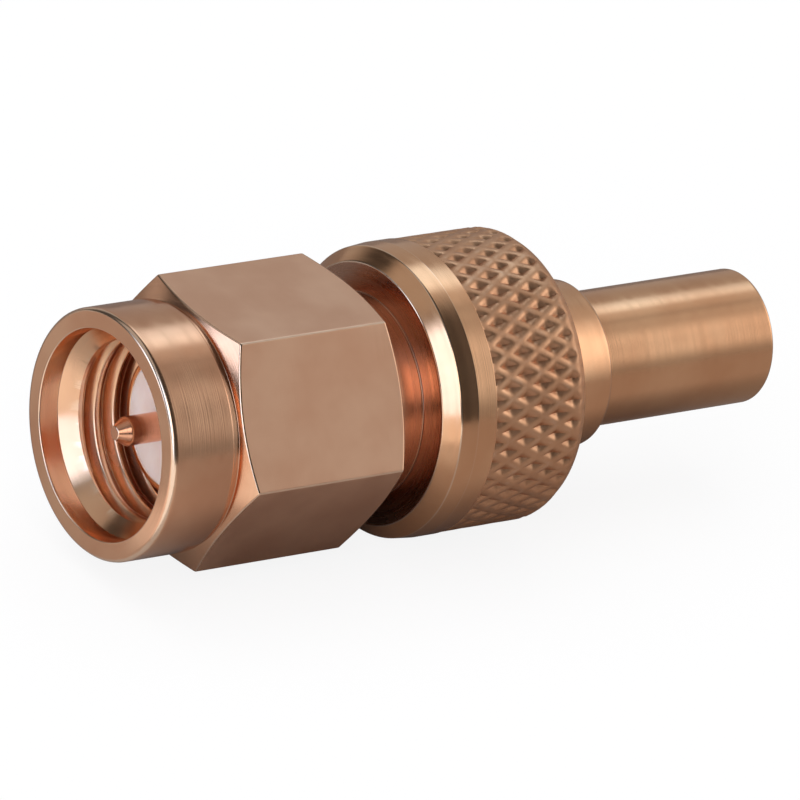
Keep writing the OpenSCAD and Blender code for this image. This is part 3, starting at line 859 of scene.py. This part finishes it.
# %% Insulators and gasket
PLUG_INSULATOR = [
    (X_PLANE, STEM_R, 0.02), (X_PLANE, FERRULE_BORE_R - APART, 0.03), (X_CORE, FERRULE_BORE_R - APART, 0),
    (X_CORE, CORE_R - APART, 0), (X_JOIN - APART, CORE_R - APART, 0), (X_JOIN - APART, FLANGE_R, 0),
    (X_JOIN - FLANGE, FLANGE_R, 0), (X_JOIN - FLANGE, STEM_R, 0)]
JACK_INSULATOR = [
    (X_JOIN + APART, SOCKET_R, 0), (X_JOIN + APART, JACK_CORE_R - APART, 0),
    (X_BOTTOM, JACK_CORE_R - APART, 0.04), (X_BOTTOM, SOCKET_R, 0.03)]
GASKET_IN_R, GASKET_OUT_R, GASKET_BACK = FERRULE_R + APART, 3.05, X_BARREL - APART
GASKET = [
    (GASKET_FRONT, GASKET_IN_R, 0.12), (GASKET_FRONT, GASKET_OUT_R, 0.2),
    (GASKET_BACK, GASKET_OUT_R, 0.2), (GASKET_BACK, GASKET_IN_R, 0.12)]
for name, node, slot, outline, material in (
        ("plug_dielectric", "plug_insulator", "insulator", PLUG_INSULATOR, waxy),
        ("jack_dielectric", "jack_insulator", "insulator", JACK_INSULATOR, waxy),
        ("rubber_gasket", "gasket", "gasket", GASKET, rubber)):
    turned_piece(name, node, material, outline, columns=128)

# %% Split ring
RING_IN_R, RING_OUT_R, RING_EDGE = 2.75, 3.5, 0.06
RING_COLUMNS = 121
HALF_OPENING, RING_MIDDLE_R = 0.45, 3.1
opening = math.asin(HALF_OPENING / RING_MIDDLE_R)
ring_step = (2 * math.pi - 2 * opening) / (RING_COLUMNS - 1)
ring_angles = [math.pi / 2 + opening + ring_step * j for j in range(RING_COLUMNS)]
RING = eased([
    (RING_FRONT, RING_IN_R, RING_EDGE), (RING_FRONT, RING_OUT_R, RING_EDGE),
    (RING_BACK, RING_OUT_R, RING_EDGE), (RING_BACK, RING_IN_R, RING_EDGE)])
mesh = bmesh.new()
ring_columns = place_columns(mesh, [RING] * RING_COLUMNS, ring_angles)
for column, beside in zip(ring_columns, ring_columns[1:]):
    join(mesh, column, beside, range(len(RING)))
mesh.faces.new(ring_columns[0])
mesh.faces.new(list(reversed(ring_columns[-1])))
make_piece(mesh, "spring_ring", "body", "retaining_ring", [spring_bronze])

# %% [markdown]
# ## The floor
# The adapter lies on white paper. Lit evenly, paper looks grey in a picture, and more light would
# bleach the metal. So most of what the camera and reflections see of the floor is plain white, and the
# small rest is lit as usual and keeps the adapter's shadow.

# %% Floor
PAPER_SHARE = 0.88
REACH = 3.0
FLOOR_HEIGHT = cad_box[0][2]


def floor_sheet(name, height, material):
    """A level square under the adapter."""
    data = bpy.data.meshes.new(name)
    corners = [(x * REACH, y * REACH, height) for x, y in ((-1, -1), (1, -1), (1, 1), (-1, 1))]
    data.from_pydata(corners, [], [(0, 1, 2, 3)])
    data.materials.append(material)
    return new_object(name, data)


def mix_shaders(tree, share, first, second):
    """Puts a mix of two shaders on the surface."""
    mix = add(tree, "MixShader")
    for socket, output in zip(mix.inputs, (share, first, second)):
        tree.links.new(output, socket)
    tree.links.new(mix.outputs[0], tree.nodes["Material Output"].inputs["Surface"])


pale, tree, shader = new_material("pale_floor")
shader.inputs["Base Color"].default_value = (0.92, 0.92, 0.92, 1)
shader.inputs["Roughness"].default_value = 0.9
shader.inputs["Specular IOR Level"].default_value = 0.1
paper = add(tree, "Emission", Color=(1, 1, 1, 1), Strength=1.0)
ray = add(tree, "LightPath").outputs
mirrored = maths(tree, "MAXIMUM", ray["Is Glossy Ray"], ray["Is Transmission Ray"])
seen = maths(tree, "MAXIMUM", ray["Is Camera Ray"], mirrored)
mix_shaders(tree, maths(tree, "MULTIPLY", seen, PAPER_SHARE), shader.outputs[0], paper.outputs[0])
floor = floor_sheet("floor", FLOOR_HEIGHT, pale)
print("floor lies at", round(FLOOR_HEIGHT / MM, 2), "mm")

# %% [markdown]
# ## The studio
# Metal is only as good as what it mirrors, so the studio is a sky painted with soft boxes, and the
# dark between them draws the dark streaks along the tube and the collar. Area lamps would do too, but
# a painted box is set by two angles round the camera, aside and above, as a photographer places it.
# The boxes on the right light the nearest flat and draw the broad streak along nose, knurl and tube.
# The one overhead lights the top flat and draws the thin line on the tube. Two cool windows on the left
# light the cones that face forwards, in the mouth, at the hexagon's corner and on the collar. A small
# box beside the camera gives the barrel its warm glint and the pin its bright tip. Dim walls and a weak
# fill at the upper left keep the rest from going black.

# %% Directions in the sky
world = bpy.data.worlds.new("studio")
bpy.context.scene.world = world
world.use_nodes = True
sky = world.node_tree
sky_view = add(sky, "TexCoord").outputs["Generated"]
rightwards = distance_along(sky, sky_view, CAMERA_RIGHT)
backwards = distance_along(sky, sky_view, CAMERA_BACK)
aside = maths(sky, "ARCTAN2", rightwards, backwards)
above = maths(sky, "ARCSINE", distance_along(sky, sky_view, CAMERA_UP))
print("the sky is", world.name)


# %% Shapes of soft boxes
def window(value, low, high, edge):
    """1 between two angles in degrees and 0 outside, with a soft edge."""
    rise = ramp(sky, value, math.radians(low - edge), math.radians(low + edge))
    fall = ramp(sky, value, math.radians(high + edge), math.radians(high - edge))
    return maths(sky, "MULTIPLY", rise, fall)


def panel(left, right, bottom, top, level, side_edge=5, end_edge=5):
    """A panel between two angles aside and two above."""
    across, upright = window(aside, left, right, side_edge), window(above, bottom, top, end_edge)
    return maths(sky, "MULTIPLY", maths(sky, "MULTIPLY", across, upright), level)


def round_box(turned, raised, inner, outer, level):
    """A round soft box in the direction of two angles, full inside one angle and gone at another."""
    turned, raised = math.radians(turned), math.radians(raised)
    level_way = CAMERA_RIGHT * math.sin(turned) + CAMERA_BACK * math.cos(turned)
    middle = level_way * math.cos(raised) + CAMERA_UP * math.sin(raised)
    near = distance_along(sky, sky_view, middle)
    return ramp(sky, near, math.cos(math.radians(outer)), math.cos(math.radians(inner)), 0.0, level)


def total(parts):
    """Adds up any number of outputs or numbers."""
    result = parts[0]
    for part in parts[1:]:
        result = maths(sky, "ADD", part, result)
    return result


print("soft boxes can be panels or round")

# %% Soft boxes
DARK = 0.06
WARM, COOL, DAYLIGHT = (1.0, 0.985, 0.97, 1), (0.74, 1.0, 1.22, 1), (0.77, 1.0, 1.40, 1)
overhead = round_box(127, 71, 6, 16.5, 1.02)
warm_boxes = [
    panel(72, 300, -100, 100, 0.31, side_edge=6),
    panel(-300, -128, -100, 100, 0.31, side_edge=12),
    round_box(102, 60, 3, 14, 0.20),
    panel(-90, -5, 31, 80, 0.36, side_edge=8, end_edge=8),
    panel(-8, 5, -13, 19, 2.6, side_edge=4, end_edge=5),
    panel(69.6, 116, -4, 33, 0.74, side_edge=2.2, end_edge=12),
    panel(81, 116, 8, 46, 0.38, side_edge=2, end_edge=6)]
windows = total([
    panel(-80, -59, -50, 24, 2.1, side_edge=4, end_edge=6),
    panel(-34, -11, -50, 28, 2.1, side_edge=4, end_edge=6)])
boxes = total([maths(sky, "ADD", overhead, DARK)] + warm_boxes)
light = maths(sky, "ADD", boxes, windows)
box_colour = blend_colours(sky, maths(sky, "DIVIDE", overhead, boxes), WARM, COOL)
sky_colour = blend_colours(sky, maths(sky, "DIVIDE", windows, light), box_colour, DAYLIGHT)
sky.links.new(light, sky.nodes["Background"].inputs["Strength"])
sky.links.new(sky_colour, sky.nodes["Background"].inputs["Color"])
print("soft boxes:", len(warm_boxes) + 3)

# %% [markdown]
# ## Lamps for the dull surfaces and a grey card
# Two broad lamps add light to the dull surfaces, the paper and the pale insulator: one from above for
# the floor, and one from the camera that reaches into the mouth. They are hidden from glossy rays, so
# the metal's reflections stay as the boxes draw them. Last comes an old trick of product photographers:
# metal that lies on white paper mirrors it and looks washed out from below, so a grey card lies under
# the adapter. Only reflections see it here, so it is a painted dark reflection of the floor. Close
# under and behind the adapter it is darker still, a painted contact shadow, and it is lighter on the
# camera's side. It is open in front, where the cones of mouth, hexagon and collar mirror the bright paper.

# %% Lamps
BROAD = math.radians(70)
slanting = Matrix.Rotation(math.radians(-12), 4, "X") @ Matrix.Rotation(math.radians(-10), 4, "Y")
for name, energy, colour, turned in (
        ("floor_light", 1.6, (1.0, 1.0, 1.0), slanting),
        ("mouth_light", 1.3, (1.0, 0.88, 0.80), camera_turn)):
    lamp = new_object(name, bpy.data.lights.new(name, "SUN"))
    lamp.data.energy = energy
    lamp.data.color = colour
    lamp.data.angle = BROAD
    lamp.matrix_world = turned
    lamp.visible_glossy = False
    print("lamp", name)

# %% Grey card
CARD_LIFT = 0.01 * MM
CONTACT_SHADOW_GREY, FAR_GREY = (0.205, 0.183, 0.17, 1), (0.32, 0.286, 0.265, 1)
CARD_THIN = 0.30
FRONT, CAMERA_SIDE, FRONT_LEFT = (-1.0, 0.0, 0.0), (0.0, -1.0, 0.0), (-0.95, -0.31, 0.0)
grey, tree, shader = new_material("grey_card")
shader.inputs["Roughness"].default_value = 0.9
shader.inputs["Specular IOR Level"].default_value = 0.0
spot = add(tree, "TexCoord").outputs["Object"]


def rising(direction, start, end, share=1.0):
    """Eases from 0 to a share between two distances in mm along a direction on the card."""
    return ramp(tree, distance_along(tree, spot, direction), start * MM, end * MM, 0.0, share)


# Painted contact shadow: the card is darker close under the adapter and lighter towards the camera.
tone = blend_colours(tree, rising(CAMERA_SIDE, 3, 8), CONTACT_SHADOW_GREY, FAR_GREY)
tree.links.new(tone, shader.inputs["Base Color"])
open_front = maths(tree, "MULTIPLY", rising(FRONT, 1, 5), rising(CAMERA_SIDE, -5, -1))
gone = maths(tree, "MAXIMUM", rising(FRONT_LEFT, -4, 2, CARD_THIN), open_front)
mix_shaders(tree, gone, shader.outputs[0], add(tree, "BsdfTransparent").outputs[0])
card = floor_sheet("grey_card", FLOOR_HEIGHT + CARD_LIFT, grey)
card.visible_camera = False
card.visible_diffuse = False
card.visible_shadow = False
card.visible_transmission = False
print("grey card lies", round(CARD_LIFT / MM, 2), "mm above the floor")

# %% [markdown]
# ## The view
# Dressing must not change the object's size. The plain Standard view keeps colours as they were chosen.

# %% View settings
bpy.context.scene.view_settings.view_transform = "Standard"
